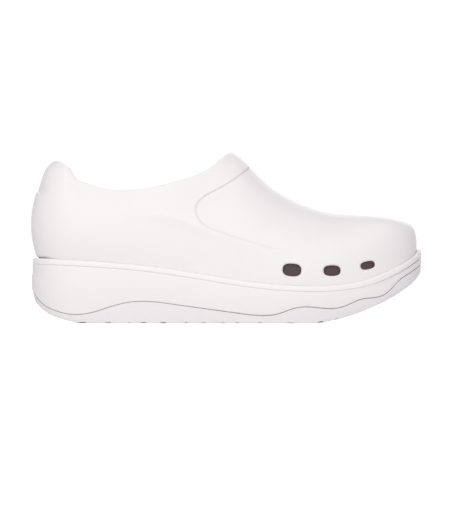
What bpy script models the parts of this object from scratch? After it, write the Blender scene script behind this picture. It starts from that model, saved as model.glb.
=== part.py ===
"""A right-foot slip-on work clog of moulded foam: upper, welt, midsole, outsole and insole.

The toe points along +X, the big-toe side is +Y and the floor is z = 0. Sizes are in millimetres,
with x from the back of the heel and z from the floor, and become metres when a mesh is made.
"""

import math

import bmesh
import bpy
import numpy as np
from mathutils import Vector

MM = 0.001
GAP = 0.3
WELD = 0.00001
OUTER, INNER = -1, 1

# Driving sizes of the shoe
LENGTH = 280.0
BALL_HALF = 46.6
INSTEP_HEIGHT = 122.4
TAB_HEIGHT = 115.5
COLLAR_HEIGHT = 95.0
HEEL_SEAT = 42.4
BALL_SEAT = 22.6
WALL = 3.5
INSOLE_THICKNESS = 5.0
WELT_REACH = 3.3
WELT_HEIGHT = 4.8

# Where the upper's base ends, and where its sections turn from straight across to fanned out
BASE_BACK = 4.6
BASE_FRONT = LENGTH - WELT_REACH - 0.4
HEEL_FAN_END = 80.0
HEEL_FAN_PULL = 33.4
SPINE_HEEL_X = BASE_BACK + HEEL_FAN_PULL
TOE_FAN_START = 165.0
TOE_FAN_PULL = 36.3

# The collar's opening: its widest place and the throat where its two sides meet
COLLAR_WIDEST_X = 70.0
THROAT_X = 143.2
THROAT_EASE = 25.0
BULGE_SKEW = 0.85

# Section counts: heel to collar's widest place, on to the throat, on to the toe, and up the wall
HEEL_STEPS, COLLAR_STEPS, VAMP_STEPS = 15, 12, 20
WALL_STEPS = 10
WALL_CLOSING = 1.25
WALL_SAMPLES = 48

# The crest of the soft shoulder along the quarter, and how far it fades up and down the wall
SHOULDER_FADE = 9.0

# The groove that edges the vamp
GROOVE_RADIUS = 1.1
GROOVE_POINTS = 30

# The shallow step on the back of the heel, below its tab, and the one on the midsole's back
TAB_STEP_Z = 93.3
TAB_STEP_DEPTH = 1.0
TAB_STEP_END_X = 14.0
TAB_CUT_LIFT = 0.3
TAB_CUT_OUT = 4.0
TAB_CUT_TOP = 8.0
LEDGE_SHARE = 0.585
LEDGE_DEPTH = 0.6
LEDGE_END_X = 9.0
LEDGE_RISE = 0.5

# Edge rounding of the foam pieces
EDGE = 0.6
RIM_ROUND = 1.2
RIM_ANGLE = 60.0
OUTSOLE_TAPER = 2.5
OUTSOLE_TAPER_SHARE = 0.25
OUTSOLE_EDGE = 0.8

# Tread: chevron channels across the outsole
TREAD_FIRST_X, TREAD_LAST_X = 26.0, 228.0
TREAD_CHANNELS = 12
TREAD_WIDTH, TREAD_DEPTH = 3.2, 1.8
CHEVRON_RAKE = 0.22
TREAD_HALF_SPAN = 60.0
TREAD_POINTS = 9

FOAM_WHITE = (0.86, 0.84, 0.84)
OUTSOLE_WHITE = (0.80, 0.78, 0.80)
LINING_TAUPE = (0.10, 0.075, 0.078)


class Table:
    """Rows of named columns along x, read at any x on the natural cubic curve through them."""

    def __init__(self, columns, rows, key=float):
        values = np.array(rows, float)
        self.key = key
        self.xs = np.array([key(x) for x in values[:, 0]])
        self.ys = {name: values[:, i] for i, name in enumerate(columns) if i}
        self.bends = {name: self._bends(ys) for name, ys in self.ys.items()}

    def _bends(self, ys):
        """Second derivatives at the rows."""
        steps = np.diff(self.xs)
        slopes = np.diff(ys) / steps
        matrix = np.eye(len(ys))
        right = np.zeros(len(ys))
        for i in range(1, len(ys) - 1):
            matrix[i, i - 1 : i + 2] = steps[i - 1], 2 * (steps[i - 1] + steps[i]), steps[i]
            right[i] = 6 * (slopes[i] - slopes[i - 1])
        return np.linalg.solve(matrix, right)

    def at(self, name, x):
        xs, ys, bends = self.xs, self.ys[name], self.bends[name]
        place = min(max(self.key(x), xs[0]), xs[-1])
        i = min(int(np.searchsorted(xs, place, side="right")), len(xs) - 1) - 1
        step = xs[i + 1] - xs[i]
        b = (place - xs[i]) / step
        a = 1 - b
        curve = (a**3 - a) * bends[i] + (b**3 - b) * bends[i + 1]
        return float(a * ys[i] + b * ys[i + 1] + curve * step * step / 6)


def around(x):
    """Share of the way round from heel to toe, so that widths read on it close in round ends."""
    share = (x - BASE_BACK) / (BASE_FRONT - BASE_BACK)
    return math.acos(1 - 2 * min(max(share, 0), 1)) / math.pi


def along(q):
    """The x at share q of the way round from heel to toe."""
    return BASE_BACK + (BASE_FRONT - BASE_BACK) * (1 - math.cos(math.pi * q)) / 2


# Plan of the upper's base: half-width, and how far its midline swings to the inner side
OUTLINE = Table(
    ("x", "half", "mid"),
    (
        (BASE_BACK, 0.0, 0.0),
        (20.0, 27.3, 0.0),
        (40.0, 32.0, 0.0),
        (75.0, 33.2, -0.5),
        (105.0, 34.4, -2.2),
        (140.0, 39.4, -2.6),
        (175.0, 45.0, -1.0),
        (200.0, BALL_HALF, 1.0),
        (225.0, 45.0, 3.0),
        (248.0, 39.4, 5.2),
        (263.0, 30.6, 6.9),
        (271.5, 20.6, 7.8),
        (BASE_FRONT, 0.0, 8.4),
    ),
    key=around,
)

# Side view of the sole: the midsole's top, the wavy line above the outsole, and the tread's face
SEAT = Table(
    ("x", "z"),
    (
        (0.0, HEEL_SEAT),
        (30.0, 41.0),
        (60.0, 39.0),
        (90.0, 36.0),
        (115.0, 32.3),
        (140.0, 28.2),
        (165.0, 24.7),
        (190.0, BALL_SEAT + 0.2),
        (208.0, BALL_SEAT),
        (227.0, 24.4),
        (244.0, 28.4),
        (258.0, 33.8),
        (270.0, 40.0),
        (LENGTH, 47.0),
    ),
)
WAVE = Table(
    ("x", "z"),
    (
        (0.0, 23.0),
        (7.0, 15.3),
        (17.0, 9.4),
        (31.0, 6.2),
        (46.0, 8.2),
        (62.0, 13.2),
        (80.0, 15.7),
        (100.0, 13.9),
        (125.0, 10.4),
        (150.0, 7.0),
        (167.0, 5.6),
        (177.0, 6.9),
        (187.0, 10.4),
        (197.0, 11.8),
        (213.0, 10.5),
        (224.0, 12.3),
        (236.0, 17.2),
        (250.0, 19.4),
        (256.0, 23.2),
        (262.0, 29.2),
        (271.0, 35.2),
        (LENGTH, 41.5),
    ),
)
TREAD_FACE = Table(
    ("x", "z"),
    (
        (0.0, 20.0),
        (4.0, 14.6),
        (9.0, 9.4),
        (16.0, 5.3),
        (25.0, 2.3),
        (38.0, 0.0),
        (60.0, 0.0),
        (120.0, 0.0),
        (180.0, 0.0),
        (201.0, 0.0),
        (212.0, 1.5),
        (227.0, 5.0),
        (244.0, 11.5),
        (256.0, 17.4),
        (267.0, 24.2),
        (275.0, 30.6),
        (LENGTH, 36.6),
    ),
)
FLAT_FROM_X, FLAT_TO_X = 38.0, 201.0

# Side view of the upper: the collar's edge with its heel tab, and the ridge from throat to toe
TOPLINE = Table(
    ("x", "z"),
    (
        (12.0, 115.0),
        (18.5, TAB_HEIGHT),
        (23.0, 113.9),
        (27.5, 110.8),
        (31.0, 106.8),
        (34.5, 102.9),
        (40.0, 100.2),
        (48.0, 97.3),
        (56.0, 95.6),
        (66.0, COLLAR_HEIGHT),
        (78.0, 95.5),
        (90.0, 97.4),
        (102.0, 100.4),
        (114.0, 104.0),
        (124.0, 107.9),
        (131.0, 112.8),
        (137.5, 118.6),
        (THROAT_X, INSTEP_HEIGHT),
    ),
)
RIDGE = Table(
    ("x", "z"),
    (
        (THROAT_X, INSTEP_HEIGHT),
        (149.0, 119.2),
        (156.5, 111.6),
        (165.0, 102.6),
        (174.5, 94.4),
        (184.0, 88.8),
        (196.0, 83.7),
        (209.0, 79.8),
        (223.0, 77.8),
        (240.0, 76.8),
        (251.0, 75.6),
        (262.0, 73.2),
        (271.0, 70.8),
        (LENGTH, 68.2),
    ),
)

# Shape of each section of the upper: squareness of its arch, how far its side swells out, the share
# of its half-width at which the collar's edge stands, and the share by which its top leans in
SECTION = Table(
    ("x", "square", "swell", "reach", "lean"),
    (
        (BASE_BACK, 2.0, 5.7, 0.735, 0.0),
        (20.0, 2.0, 5.0, 0.77, 0.0),
        (40.0, 2.0, 3.7, 0.85, 0.0),
        (COLLAR_WIDEST_X, 2.0, 2.7, 0.92, 0.0),
        (105.0, 2.0, 2.0, 0.92, 0.0),
        (THROAT_X, 2.0, 1.5, 0.92, 0.0),
        (175.0, 2.15, 1.2, 0.92, 0.0),
        (200.0, 2.35, 1.2, 0.92, 0.0),
        (225.0, 2.8, 1.0, 0.92, 0.0),
        (250.0, 4.2, 0.7, 0.92, 0.015),
        (BASE_FRONT, 10.0, 0.3, 0.92, 0.05),
    ),
)

# The soft shoulder on the quarter: its height along the shoe and how far it stands proud
SHOULDER = Table(
    ("x", "z", "crest"),
    (
        (55.0, 77.5, 0.0),
        (75.0, 77.5, 0.3),
        (90.0, 77.6, 0.7),
        (102.0, 75.0, 1.0),
        (114.0, 70.4, 1.1),
        (126.0, 66.0, 1.1),
        (144.0, 60.2, 1.0),
        (157.0, 56.8, 0.9),
        (183.0, 51.4, 0.6),
        (205.0, 48.0, 0.3),
        (225.0, 46.5, 0.0),
    ),
)

# The vamp's groove, from where it fades out on the side up to the ridge: the section it is on,
# its turn up that section, and how far the cutting round is raised so that the groove runs out
GROOVE = (
    (183.0, 20.7, 0.9),
    (170.0, 20.3, 0.5),
    (157.0, 19.5, 0.2),
    (144.0, 19.5, 0.0),
    (131.0, 20.8, 0.0),
    (123.4, 22.5, 0.0),
    (119.6, 24.7, 0.0),
    (118.3, 27.6, 0.0),
    (119.6, 31.5, 0.0),
    (124.6, 36.6, 0.0),
    (131.0, 40.9, 0.0),
    (137.7, 45.0, 0.0),
    (143.0, 50.0, 0.0),
    (148.0, 56.0, 0.0),
    (152.0, 63.4, 0.0),
    (154.5, 70.8, 0.0),
    (156.0, 78.0, 0.0),
    (157.0, 90.0, 0.0),
)

# Vents on the outer side: middle, size and tilt in side view
VENTS = (
    {"x": 187.0, "z": 38.0, "wide": 13.2, "tall": 9.0, "tilt": -4.0},
    {"x": 215.5, "z": 37.5, "wide": 12.0, "tall": 7.5, "tilt": 0.0},
    {"x": 241.2, "z": 41.3, "wide": 10.2, "tall": 6.0, "tilt": 10.0},
)
VENT_SIDES = 20
VENT_SQUARE = 2.8
VENT_FROM_Y, VENT_TO_Y = -75.0, -18.0


def stations():
    """Shares of the way round, from heel to toe, at which every piece has a section."""
    widest, throat = around(COLLAR_WIDEST_X), around(THROAT_X)
    heel = [widest * i / HEEL_STEPS for i in range(HEEL_STEPS)]
    turn = [math.pi / 2 * i / COLLAR_STEPS for i in range(COLLAR_STEPS)]
    opening = THROAT_X - COLLAR_WIDEST_X
    collar = [around(COLLAR_WIDEST_X + opening * math.sin(angle)) for angle in turn]
    vamp = [throat + (1 - throat) * i / VAMP_STEPS for i in range(VAMP_STEPS + 1)]
    return heel + collar + vamp


STATIONS = stations()


def base_point(q, side):
    x = along(q)
    return Vector((x, OUTLINE.at("mid", x) + side * OUTLINE.at("half", x)))


def outline(q, side, out=0.0):
    """Plan point at share q of one side, moved out from the upper's base by out."""
    step = 0.001
    before = base_point(q - step, side) if q > step else base_point(step - q, -side)
    after = base_point(q + step, side) if q < 1 - step else base_point(2 - step - q, -side)
    run = (after - before).normalized()
    return base_point(q, side) + Vector((-run.y, run.x)) * out * side


def loop():
    """Every (share, side) once round the shoe, from the toe back along the outer side."""
    outer = [(q, OUTER) for q in reversed(STATIONS)]
    inner = [(q, INNER) for q in STATIONS[1:]]
    return outer + inner


def spine_x(x):
    """Where on the midline the section that stands on the base at x begins."""
    if x < HEEL_FAN_END:
        share = (HEEL_FAN_END - x) / (HEEL_FAN_END - BASE_BACK)
        return x + HEEL_FAN_PULL * share**2
    share = max(0.0, (x - TOE_FAN_START) / (BASE_FRONT - TOE_FAN_START))
    return x - TOE_FAN_PULL * share**2


def ease(share):
    """0 to 1, level at both ends."""
    held = min(max(share, 0.0), 1.0)
    return held * held * (3 - 2 * held)


def collar_reach(x):
    """Share of the half-width at which the collar's edge stands, closing to none at the throat."""
    if x > THROAT_X - GAP:
        return 0.0
    closing = max(0.0, (x - COLLAR_WIDEST_X) / (THROAT_X - COLLAR_WIDEST_X))
    return SECTION.at("reach", x) * math.sqrt(1 - closing**2)


def shoulder(x, z):
    """How far the quarter's soft shoulder stands proud at a place in side view."""
    crest = max(0.0, SHOULDER.at("crest", x))
    return crest * math.exp(-abs(z - SHOULDER.at("z", x)) / SHOULDER_FADE)


def wall_section(q, side):
    """One section of the upper's outer face: its last turn, and its point at any turn.

    The turn is 0 at the welt's top and a quarter circle at the ridge; at the collar it ends earlier.
    """
    foot = outline(q, side)
    begin = Vector((spine_x(foot.x), OUTLINE.at("mid", spine_x(foot.x))))
    half = (foot - begin).length
    ahead = (foot - begin) / half
    low = SEAT.at("z", foot.x) + WELT_HEIGHT
    power = 2 / SECTION.at("square", foot.x)
    swell = SECTION.at("swell", foot.x)
    lean = SECTION.at("lean", foot.x)
    reach = collar_reach(foot.x)
    last = math.acos(reach ** (1 / power))
    last_rise = math.sin(last) ** power
    swell_top = 1 - (1 - last_rise) * ease((THROAT_X - foot.x) / THROAT_EASE)
    edge_x = begin.x + ahead.x * half * reach
    collar = low + (TOPLINE.at("z", edge_x) - low) / last_rise

    def point(turn):
        rise = math.sin(turn) ** power
        out = half * max(math.cos(turn), 0.0) ** power * (1 - lean * rise)
        high = collar if reach else RIDGE.at("z", begin.x + ahead.x * out)
        z = low + (high - low) * rise
        out += swell * math.sin(math.pi * min(rise / swell_top, 1.0) ** BULGE_SKEW)
        flat = begin + ahead * out
        flat.y += side * shoulder(flat.x, z) * min(1.0, out / half)
        return Vector((flat.x, flat.y, z))

    return last, point


def wall_line(q, side):
    """Points up the upper's outer face, from the welt's top to the collar's edge or the ridge."""
    last, point = wall_section(q, side)
    return [point(last * i / WALL_SAMPLES) for i in range(WALL_SAMPLES + 1)]


def closer_up(points, count):
    """The same line with count steps along it, closer together towards its top."""
    lengths = [0.0]
    for a, b in zip(points, points[1:]):
        lengths.append(lengths[-1] + (b - a).length)
    wanted = lengths[-1] * (1 - np.linspace(1, 0, count + 1) ** WALL_CLOSING)
    columns = [np.interp(wanted, lengths, [p[axis] for p in points]) for axis in range(3)]
    return [Vector(p) for p in zip(*columns)]


def wall_column(q, side):
    """The upper's outer face at one station: its foot inside the welt, then up the wall."""
    line = closer_up(wall_line(q, side), WALL_STEPS)
    foot = line[0].copy()
    foot.z = SEAT.at("z", foot.x) + GAP
    return [foot] + line


def face_outwards(bm):
    bm.normal_update()
    bmesh.ops.recalc_face_normals(bm, faces=bm.faces)


def new_mesh_object(name, bm, collection):
    mesh = bpy.data.meshes.new(name)
    bm.to_mesh(mesh)
    bm.free()
    obj = bpy.data.objects.new(name, mesh)
    collection.objects.link(obj)
    return obj


def woven(bm, columns, rows, place):
    """Adds a grid of columns by rows points, each put where place says, with doubles welded."""
    grid = bmesh.ops.create_grid(bm, x_segments=columns - 1, y_segments=rows - 1, size=0.5)
    verts = sorted(grid["verts"], key=lambda v: (round(v.co.y, 4), round(v.co.x, 4)))
    for index, vert in enumerate(verts):
        vert.co = Vector(place(index % columns, index // columns)) * MM
    bmesh.ops.remove_doubles(bm, verts=verts, dist=WELD)


def closed_loft(name, sections, collection):
    """A solid through closed sections, whose last point repeats their first, capped at open ends."""
    bm = bmesh.new()
    woven(bm, len(sections), len(sections[0]), lambda i, j: sections[i][j])
    bmesh.ops.holes_fill(bm, edges=[edge for edge in bm.edges if edge.is_boundary])
    face_outwards(bm)
    return new_mesh_object(name, bm, collection)


def layer_section(q, levels):
    """A closed section across a sole layer, up its outer side and down its inner side.

    levels gives, for a plan x, the layer's side from bottom to top as pairs of (out, height of x).
    """
    points = []
    for side in (OUTER, INNER):
        rim = []
        for out, height in levels(along(q)):
            flat = outline(q, side, out)
            rim.append(Vector((flat.x, flat.y, height(flat.x))))
        points += rim if side == OUTER else reversed(rim)
    return points + points[:1]


def fading(x, end):
    """1 at the back of the heel, easing to 0 at end."""
    return 1 - ease((x - BASE_BACK) / (end - BASE_BACK))


def seat(x, above=0.0):
    return SEAT.at("z", x) + above


def wave(x, above=0.0):
    return WAVE.at("z", x) + above


def tread_face(x, above=0.0):
    """Height of the tread's face: flat between heel and ball, rising in a rocker at both ends."""
    flat = FLAT_FROM_X <= x <= FLAT_TO_X
    return (0.0 if flat else max(0.0, TREAD_FACE.at("z", x))) + above


def midsole_levels(x):
    ledge = LEDGE_DEPTH * fading(x, LEDGE_END_X)

    def ledge_z(at, above=0.0):
        return wave(at) + LEDGE_SHARE * (seat(at) - wave(at)) + above

    return (
        (WELT_REACH - EDGE - GAP, lambda at: wave(at, GAP / 2)),
        (WELT_REACH, lambda at: wave(at, GAP / 2 + EDGE)),
        (WELT_REACH, lambda at: ledge_z(at)),
        (WELT_REACH - ledge, lambda at: ledge_z(at, LEDGE_RISE)),
        (WELT_REACH - ledge, lambda at: seat(at, -EDGE)),
        (WELT_REACH - EDGE, seat),
    )


def outsole_levels(x):
    taper = min(OUTSOLE_TAPER, OUTSOLE_TAPER_SHARE * (wave(x) - tread_face(x)))
    low = WELT_REACH - GAP - taper
    return (
        (low - OUTSOLE_EDGE, tread_face),
        (low, lambda at: tread_face(at, OUTSOLE_EDGE)),
        (WELT_REACH - GAP, lambda at: wave(at, -GAP / 2 - EDGE)),
        (WELT_REACH - EDGE - GAP, lambda at: wave(at, -GAP / 2)),
    )


def insole_levels(_):
    inside = -(WALL + 2 * GAP)
    return (
        (inside, lambda at: seat(at, GAP)),
        (inside, lambda at: seat(at, GAP + INSOLE_THICKNESS - EDGE)),
        (inside - 2 * EDGE, lambda at: seat(at, GAP + INSOLE_THICKNESS)),
    )


def sole_layer(name, levels, collection):
    return closed_loft(name, [layer_section(q, levels) for q in STATIONS], collection)


def build_welt(collection):
    """The strip round the upper's foot: a ring with a rounded top edge and a relieved lower one."""
    levels = (
        (GAP, GAP),
        (WELT_REACH - EDGE, GAP),
        (WELT_REACH, GAP + EDGE),
        (WELT_REACH, WELT_HEIGHT - 2 * EDGE),
        (WELT_REACH - EDGE / 2, WELT_HEIGHT - EDGE / 2),
        (WELT_REACH - 2 * EDGE, WELT_HEIGHT),
        (GAP, WELT_HEIGHT),
        (GAP, GAP),
    )
    sections = []
    for q, side in loop():
        ring = []
        for out, above in levels:
            flat = outline(q, side, out)
            ring.append(Vector((flat.x, flat.y, seat(flat.x, above))))
        sections.append(ring)
    return closed_loft("welt", sections, collection)


def build_upper_skin(collection):
    """The outer face of the upper, open at the collar and underneath."""
    columns = [wall_column(q, side) for q, side in loop()]
    bm = bmesh.new()
    woven(bm, len(columns), len(columns[0]), lambda i, j: columns[i][j])
    face_outwards(bm)
    lowest = min(bm.faces, key=lambda face: face.calc_center_median().x)
    if lowest.normal.x > 0:
        bmesh.ops.reverse_faces(bm, faces=bm.faces)
    return new_mesh_object("upper", bm, collection)


def round_rim(obj):
    """Gives the skin its wall, inwards, and rounds the wall's edges."""
    wall = obj.modifiers.new("wall", "SOLIDIFY")
    wall.thickness = WALL * MM
    wall.offset = -1.0
    wall.use_even_offset = True
    edge = obj.modifiers.new("rim", "BEVEL")
    edge.limit_method = "ANGLE"
    edge.angle_limit = math.radians(RIM_ANGLE)
    edge.width = RIM_ROUND * MM
    edge.segments = 2
    edge.use_clamp_overlap = True


def cutter(obj, target):
    obj.hide_render = True
    obj.display_type = "WIRE"
    cut = target.modifiers.new("cut_" + obj.name, "BOOLEAN")
    cut.operation = "DIFFERENCE"
    cut.object = obj
    return obj


def vent_cutter(number, vent, collection):
    """A round-cornered bar that pierces the outer wall across the shoe."""
    bm = bmesh.new()
    bmesh.ops.create_cone(bm, cap_ends=True, segments=VENT_SIDES, radius1=1, radius2=1, depth=1)
    tilt = math.radians(vent["tilt"])
    for vert in bm.verts:
        angle = math.atan2(vert.co.y, vert.co.x)
        right = math.copysign(abs(math.cos(angle)) ** (2 / VENT_SQUARE), math.cos(angle))
        up = math.copysign(abs(math.sin(angle)) ** (2 / VENT_SQUARE), math.sin(angle))
        right *= vent["wide"] / 2
        up *= vent["tall"] / 2
        x = vent["x"] + right * math.cos(tilt) - up * math.sin(tilt)
        z = vent["z"] + right * math.sin(tilt) + up * math.cos(tilt)
        y = VENT_FROM_Y if vert.co.z < 0 else VENT_TO_Y
        vert.co = Vector((x, y, z)) * MM
    face_outwards(bm)
    return new_mesh_object(f"vent_{number}", bm, collection)


def groove_path():
    """The groove's centre line, up the outer side, over the ridge and down the inner side."""
    path = Table(("step", "x", "turn", "lift"), [(i, *point) for i, point in enumerate(GROOVE)])
    steps = np.linspace(0, len(GROOVE) - 1, GROOVE_POINTS)
    points = []
    for side in (OUTER, INNER):
        half = []
        for step in steps:
            _, point = wall_section(around(path.at("x", step)), side)
            lift = Vector((0, side * max(path.at("lift", step), 0.0), 0))
            half.append(point(math.radians(path.at("turn", step))) + lift)
        points += half if side == OUTER else half[-2::-1]
    return points


def groove_cutter(collection):
    """A round bar along the vamp's edge, half sunk in the wall."""
    curve = bpy.data.curves.new("vamp_groove", "CURVE")
    curve.dimensions = "3D"
    curve.bevel_depth = GROOVE_RADIUS * MM
    curve.bevel_resolution = 1
    curve.use_fill_caps = True
    points = groove_path()
    spline = curve.splines.new("POLY")
    spline.points.add(len(points) - 1)
    for knot, point in zip(spline.points, points):
        knot.co = (*(point * MM), 1.0)
    line = bpy.data.objects.new("vamp_groove_line", curve)
    collection.objects.link(line)
    graph = bpy.context.evaluated_depsgraph_get()
    bm = bmesh.new()
    bm.from_mesh(bpy.data.meshes.new_from_object(line.evaluated_get(graph)))
    bmesh.ops.remove_doubles(bm, verts=bm.verts, dist=WELD)
    bpy.data.objects.remove(line)
    return new_mesh_object("vamp_groove", bm, collection)


def tab_cutter(collection):
    """Trims the back of the heel tab, from the step upwards, fading out towards its sides."""
    sections = []
    for q, side in loop():
        if along(q) > TAB_STEP_END_X:
            continue
        line = wall_line(q, side)
        heights = [p.z for p in line]
        top = heights[-1] + TAB_CUT_TOP
        ring = []
        for z in (TAB_STEP_Z, (TAB_STEP_Z + heights[-1]) / 2, heights[-1], top):
            face = Vector([float(np.interp(z, heights, [p[i] for p in line])) for i in range(3)])
            ring.append(Vector((face.x, face.y, z)))
        depth = (TAB_STEP_DEPTH + TAB_CUT_LIFT) * fading(along(q), TAB_STEP_END_X) - TAB_CUT_LIFT
        out = Vector((ring[0].x - SPINE_HEEL_X, ring[0].y, 0)).normalized()
        inner = [p - out * depth for p in ring]
        outer = [p + out * TAB_CUT_OUT for p in reversed(ring)]
        sections.append(inner + outer + inner[:1])
    return closed_loft("tab_trim", sections, collection)


def tread_cutter(collection):
    """Chevron bars under the outsole, each following the tread's face."""
    bm = bmesh.new()
    spacing = (TREAD_LAST_X - TREAD_FIRST_X) / (TREAD_CHANNELS - 1)
    across = np.linspace(-TREAD_HALF_SPAN, TREAD_HALF_SPAN, TREAD_POINTS)
    corners = ((-0.5, -2.0), (0.5, -2.0), (0.5, 1.0), (-0.5, 1.0), (-0.5, -2.0))
    for channel in range(TREAD_CHANNELS):
        middle = TREAD_FIRST_X + channel * spacing

        def place(i, j, middle=middle):
            y = across[i]
            x = middle + CHEVRON_RAKE * abs(y) + corners[j][0] * TREAD_WIDTH
            return x, y, tread_face(x, corners[j][1] * TREAD_DEPTH)

        bar = bmesh.new()
        woven(bar, len(across), len(corners), place)
        ends = [edge for edge in bar.edges if edge.is_boundary]
        bmesh.ops.holes_fill(bar, edges=ends, sides=len(corners))
        face_outwards(bar)
        piece = bpy.data.meshes.new("tread_bar")
        bar.to_mesh(piece)
        bar.free()
        bm.from_mesh(piece)
        bpy.data.meshes.remove(piece)
    return new_mesh_object("tread_channels", bm, collection)


def finish(obj, colour, roughness):
    """A plain material of the piece's own colour, and smooth shading broken at its edges."""
    material = bpy.data.materials.new(obj.name)
    material.use_nodes = True
    shader = material.node_tree.nodes["Principled BSDF"]
    shader.inputs["Base Color"].default_value = (*colour, 1.0)
    shader.inputs["Roughness"].default_value = roughness
    shader.inputs["Metallic"].default_value = 0.0
    obj.data.materials.append(material)
    obj.data.shade_smooth()
    obj.data.set_sharp_from_angle(angle=math.radians(35))


def stand_on_floor(pieces, collection):
    """Parents the pieces to an empty that puts the origin under the middle of the shoe."""
    graph = bpy.context.evaluated_depsgraph_get()
    corners = [Vector(c) for piece in pieces for c in piece.evaluated_get(graph).bound_box]
    low = Vector([min(c[axis] for c in corners) for axis in range(3)])
    high = Vector([max(c[axis] for c in corners) for axis in range(3)])
    root = bpy.data.objects.new("clog_origin", None)
    collection.objects.link(root)
    root.location = (-(low.x + high.x) / 2, -(low.y + high.y) / 2, -low.z)
    for piece in pieces:
        piece.parent = root


def main():
    for obj in list(bpy.data.objects):
        bpy.data.objects.remove(obj)
    parts = bpy.data.collections.new("work_clog")
    cutters = bpy.data.collections.new("cutters")
    for collection in (parts, cutters):
        bpy.context.scene.collection.children.link(collection)

    upper = build_upper_skin(parts)
    round_rim(upper)
    upper_cutters = [cutter(tab_cutter(cutters), upper)]
    upper_cutters += [cutter(vent_cutter(i + 1, vent, cutters), upper) for i, vent in enumerate(VENTS)]
    upper_cutters.append(cutter(groove_cutter(cutters), upper))
    welt = build_welt(parts)
    midsole = sole_layer("midsole", midsole_levels, parts)
    outsole = sole_layer("outsole", outsole_levels, parts)
    tread = cutter(tread_cutter(cutters), outsole)
    insole = sole_layer("insole", insole_levels, parts)

    for piece in (upper, welt, midsole):
        finish(piece, FOAM_WHITE, 0.55)
    finish(outsole, OUTSOLE_WHITE, 0.6)
    finish(insole, LINING_TAUPE, 0.9)
    stand_on_floor([upper, welt, midsole, outsole, insole], parts)
    for helper in upper_cutters + [tread]:
        helper.parent = upper.parent


main()
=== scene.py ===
"""Looks of the right-foot work clog: white moulded foam, a rubber tread, a textile lining and footbed.

Sizes are in millimetres, with x from the back of the heel, +y to the inner side of the foot and z
from the floor. A mesh becomes metres, and moves to the frame's origin, when it is made.
"""

import math

import bmesh
import bpy
import numpy as np
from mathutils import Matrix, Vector
from mathutils.bvhtree import BVHTree


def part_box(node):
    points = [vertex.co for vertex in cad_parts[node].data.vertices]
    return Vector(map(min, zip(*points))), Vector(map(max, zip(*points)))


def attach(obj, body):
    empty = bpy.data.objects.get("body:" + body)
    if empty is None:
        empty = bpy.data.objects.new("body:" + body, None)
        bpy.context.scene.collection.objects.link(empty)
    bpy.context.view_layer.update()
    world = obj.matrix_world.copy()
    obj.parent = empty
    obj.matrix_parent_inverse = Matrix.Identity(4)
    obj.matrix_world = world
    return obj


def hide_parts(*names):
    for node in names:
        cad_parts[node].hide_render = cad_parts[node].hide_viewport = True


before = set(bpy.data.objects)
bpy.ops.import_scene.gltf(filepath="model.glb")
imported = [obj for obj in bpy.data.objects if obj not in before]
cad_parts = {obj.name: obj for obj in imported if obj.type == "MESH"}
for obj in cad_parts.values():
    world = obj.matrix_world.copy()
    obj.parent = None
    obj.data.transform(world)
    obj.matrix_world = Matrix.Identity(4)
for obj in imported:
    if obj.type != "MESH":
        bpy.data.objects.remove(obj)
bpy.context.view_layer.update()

# In metres: a millimetre, and the distances at which points are welded and slivers are removed
MM = 0.001
WELD = 0.00001
SLIVER = 0.000002

# The gap between touching pieces, each side of the foot as a sign of y, and a cosine's rounding error
GAP = 0.3
OUTER, INNER = -1, 1
ROUNDING = 1e-9

# Driving sizes of the shoe
LENGTH = 280.0
BALL_HALF = 46.6
INSTEP_HEIGHT = 122.4
TAB_HEIGHT = 116.0
COLLAR_HEIGHT = 95.0
HEEL_SEAT = 42.4
BALL_SEAT = 22.6
WALL = 3.5
INSOLE_THICKNESS = 5.0
WELT_REACH = 3.3

# The welt's height above the midsole: slim along the sides, full round the toe
WELT_SLIM_HEIGHT, WELT_SLIM_TO_X = 4.2, 222.0
WELT_FULL_HEIGHT, WELT_FULL_FROM_X = 5.2, 250.0

# Where the upper's base ends, and where its sections turn from straight across to fanned out
BASE_BACK = 4.6
TOE_SETBACK = 0.4
BASE_FRONT = LENGTH - WELT_REACH - TOE_SETBACK
HEEL_FAN_END, HEEL_FAN_PULL = 80.0, 33.4
TOE_FAN_START, TOE_FAN_PULL = 165.0, 36.3

# The collar's opening: its widest place and the throat where its two sides meet
COLLAR_WIDEST_X = 70.0
THROAT_X, THROAT_EASE = 143.2, 25.0

# A power below 1 sets the swell of a section's side nearer to its foot
BULGE_SKEW = 0.85


class Table:
    """Rows of named columns along x, read at any x on the natural cubic curve through them."""

    def __init__(self, columns, rows, key=np.asarray):
        values = np.array(rows, float)
        self.key = key
        self.xs = key(values[:, 0])
        self.ys = {name: values[:, i] for i, name in enumerate(columns) if i}
        self.bends = {name: self._bends(ys) for name, ys in self.ys.items()}

    def _bends(self, ys):
        """Second derivatives at the rows."""
        steps = np.diff(self.xs)
        slopes = np.diff(ys) / steps
        matrix = np.eye(len(ys))
        right = np.zeros(len(ys))
        for i in range(1, len(ys) - 1):
            matrix[i, i - 1 : i + 2] = steps[i - 1], 2 * (steps[i - 1] + steps[i]), steps[i]
            right[i] = 6 * (slopes[i] - slopes[i - 1])
        return np.linalg.solve(matrix, right)

    def at(self, name, x):
        """The named column at x, held at its end values past the rows."""
        xs, ys, bends = self.xs, self.ys[name], self.bends[name]
        place = np.clip(self.key(np.asarray(x, float)), xs[0], xs[-1])
        i = np.clip(np.searchsorted(xs, place, side="right") - 1, 0, len(xs) - 2)
        step = xs[i + 1] - xs[i]
        b = (place - xs[i]) / step
        a = 1 - b
        curve = (a**3 - a) * bends[i] + (b**3 - b) * bends[i + 1]
        return a * ys[i] + b * ys[i + 1] + curve * step * step / 6


def around(x):
    """Share of the way round from heel to toe, so that widths read on it close in round ends."""
    share = (x - BASE_BACK) / (BASE_FRONT - BASE_BACK)
    return np.arccos(1 - 2 * np.clip(share, 0, 1)) / math.pi


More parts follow.
